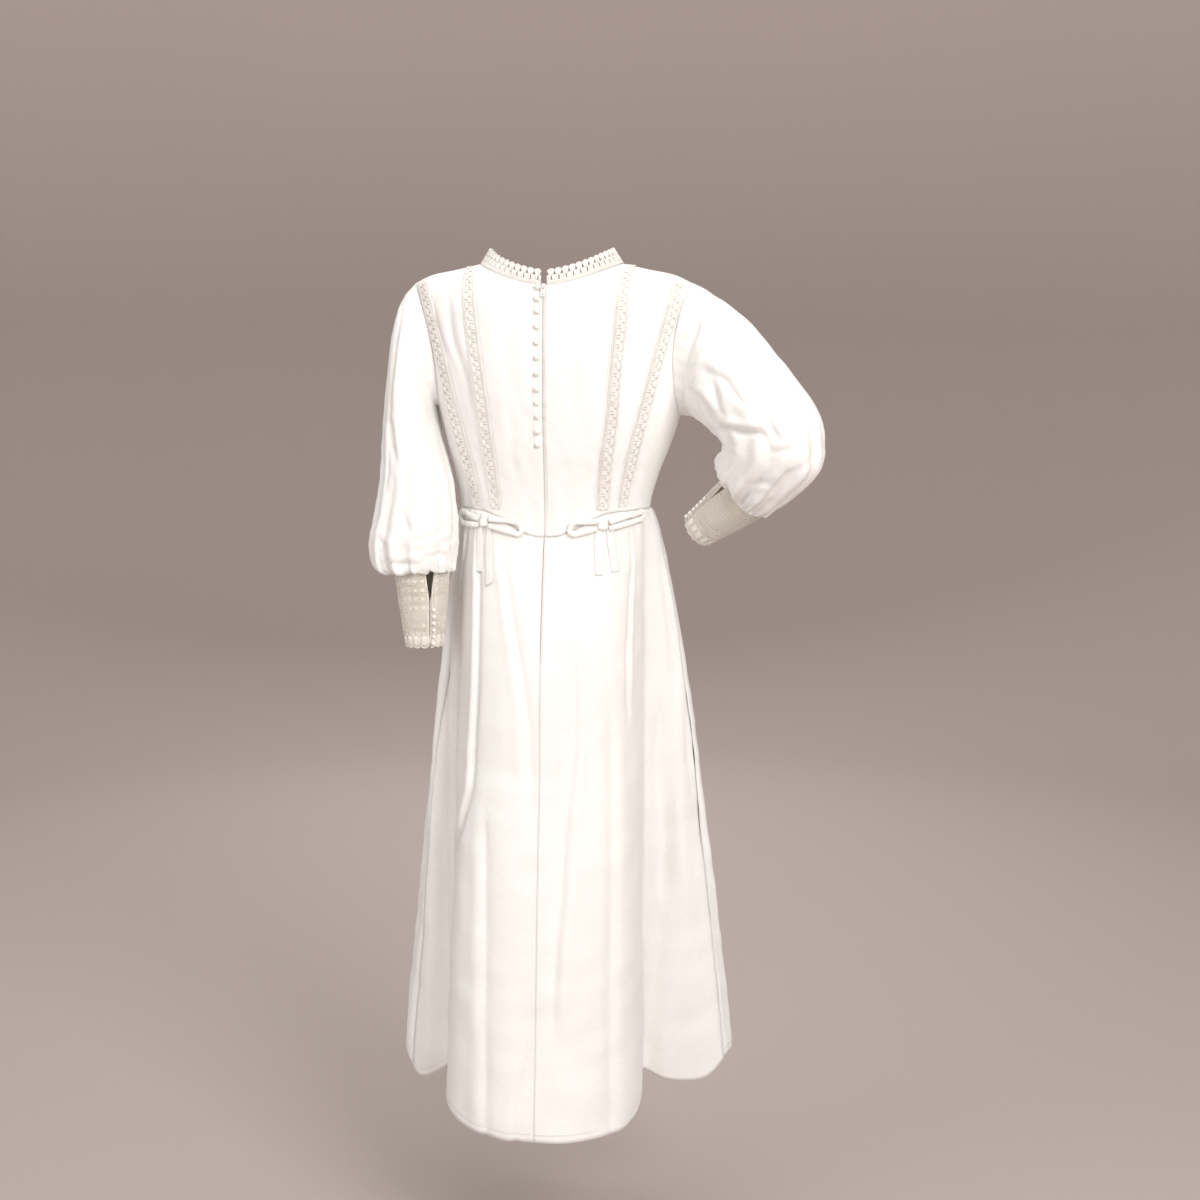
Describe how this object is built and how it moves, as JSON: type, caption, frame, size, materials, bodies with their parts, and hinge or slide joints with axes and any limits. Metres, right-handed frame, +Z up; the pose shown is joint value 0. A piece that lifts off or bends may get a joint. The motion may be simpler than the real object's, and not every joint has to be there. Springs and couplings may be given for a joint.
{
  "type": "crochet wedding dress",
  "caption": "Long dress in worn form with full gathered sleeves, crochet cuffs, collar and bodice strips, ball buttons and zip at the back, and two tied bows at the waist.",
  "frame": {"origin": "between the wearer's shoulders, at the height of the side neck points, where the dress hangs", "axes": "+Z up, +X toward the wearer's left, +Y toward the wearer's back"},
  "size_m": [0.6496, 0.4019, 1.2647],
  "materials": {
    "woven_cloth": "plain weave, soft drape, slight sheen",
    "crochet": "cotton crochet, matte",
    "ball_buttons": "covered ball button",
    "zip": "white coated zip"
  },
  "bodies": {
    "dress": {"bodice_front": "woven_cloth", "bodice_back_left": "woven_cloth", "bodice_back_right": "woven_cloth", "skirt_front": "woven_cloth", "skirt_back_left": "woven_cloth", "skirt_back_right": "woven_cloth", "sleeve_left": "woven_cloth", "sleeve_right": "woven_cloth", "tie_knot_left": "woven_cloth", "tie_loop_left_outer": "woven_cloth", "tie_loop_left_inner": "woven_cloth", "tie_tail_left_outer": "woven_cloth", "tie_tail_left_inner": "woven_cloth", "tie_knot_right": "woven_cloth", "tie_loop_right_outer": "woven_cloth", "tie_loop_right_inner": "woven_cloth", "tie_tail_right_outer": "woven_cloth", "tie_tail_right_inner": "woven_cloth", "collar": "crochet", "strip_outer_left": "crochet", "strip_inner_left": "crochet", "strip_inner_right": "crochet", "strip_outer_right": "crochet", "cuff_left": "crochet", "cuff_right": "crochet", "back_button_1": "ball_buttons", "back_button_2": "ball_buttons", "back_button_3": "ball_buttons", "back_button_4": "ball_buttons", "back_button_5": "ball_buttons", "back_button_6": "ball_buttons", "back_button_7": "ball_buttons", "back_button_8": "ball_buttons", "back_button_9": "ball_buttons", "back_button_10": "ball_buttons", "back_button_11": "ball_buttons", "back_button_12": "ball_buttons", "cuff_button_left_1": "ball_buttons", "cuff_button_left_2": "ball_buttons", "cuff_button_left_3": "ball_buttons", "cuff_button_left_4": "ball_buttons", "cuff_button_left_5": "ball_buttons", "cuff_button_left_6": "ball_buttons", "cuff_button_right_1": "ball_buttons", "cuff_button_right_2": "ball_buttons", "cuff_button_right_3": "ball_buttons", "cuff_button_right_4": "ball_buttons", "cuff_button_right_5": "ball_buttons", "cuff_button_right_6": "ball_buttons", "zip_chain": "zip", "zip_slider": "zip"},
    "zip_pull": {"zip_pull": "zip"}
  },
  "joints": [
    {"name": "pull_tab_turn", "type": "hinge", "parent": "dress", "child": "zip_pull", "pos_m": [0, 0.08775, -0.03375], "axis": [1, 0, 0], "range_deg": [0, 120]}
  ]
}
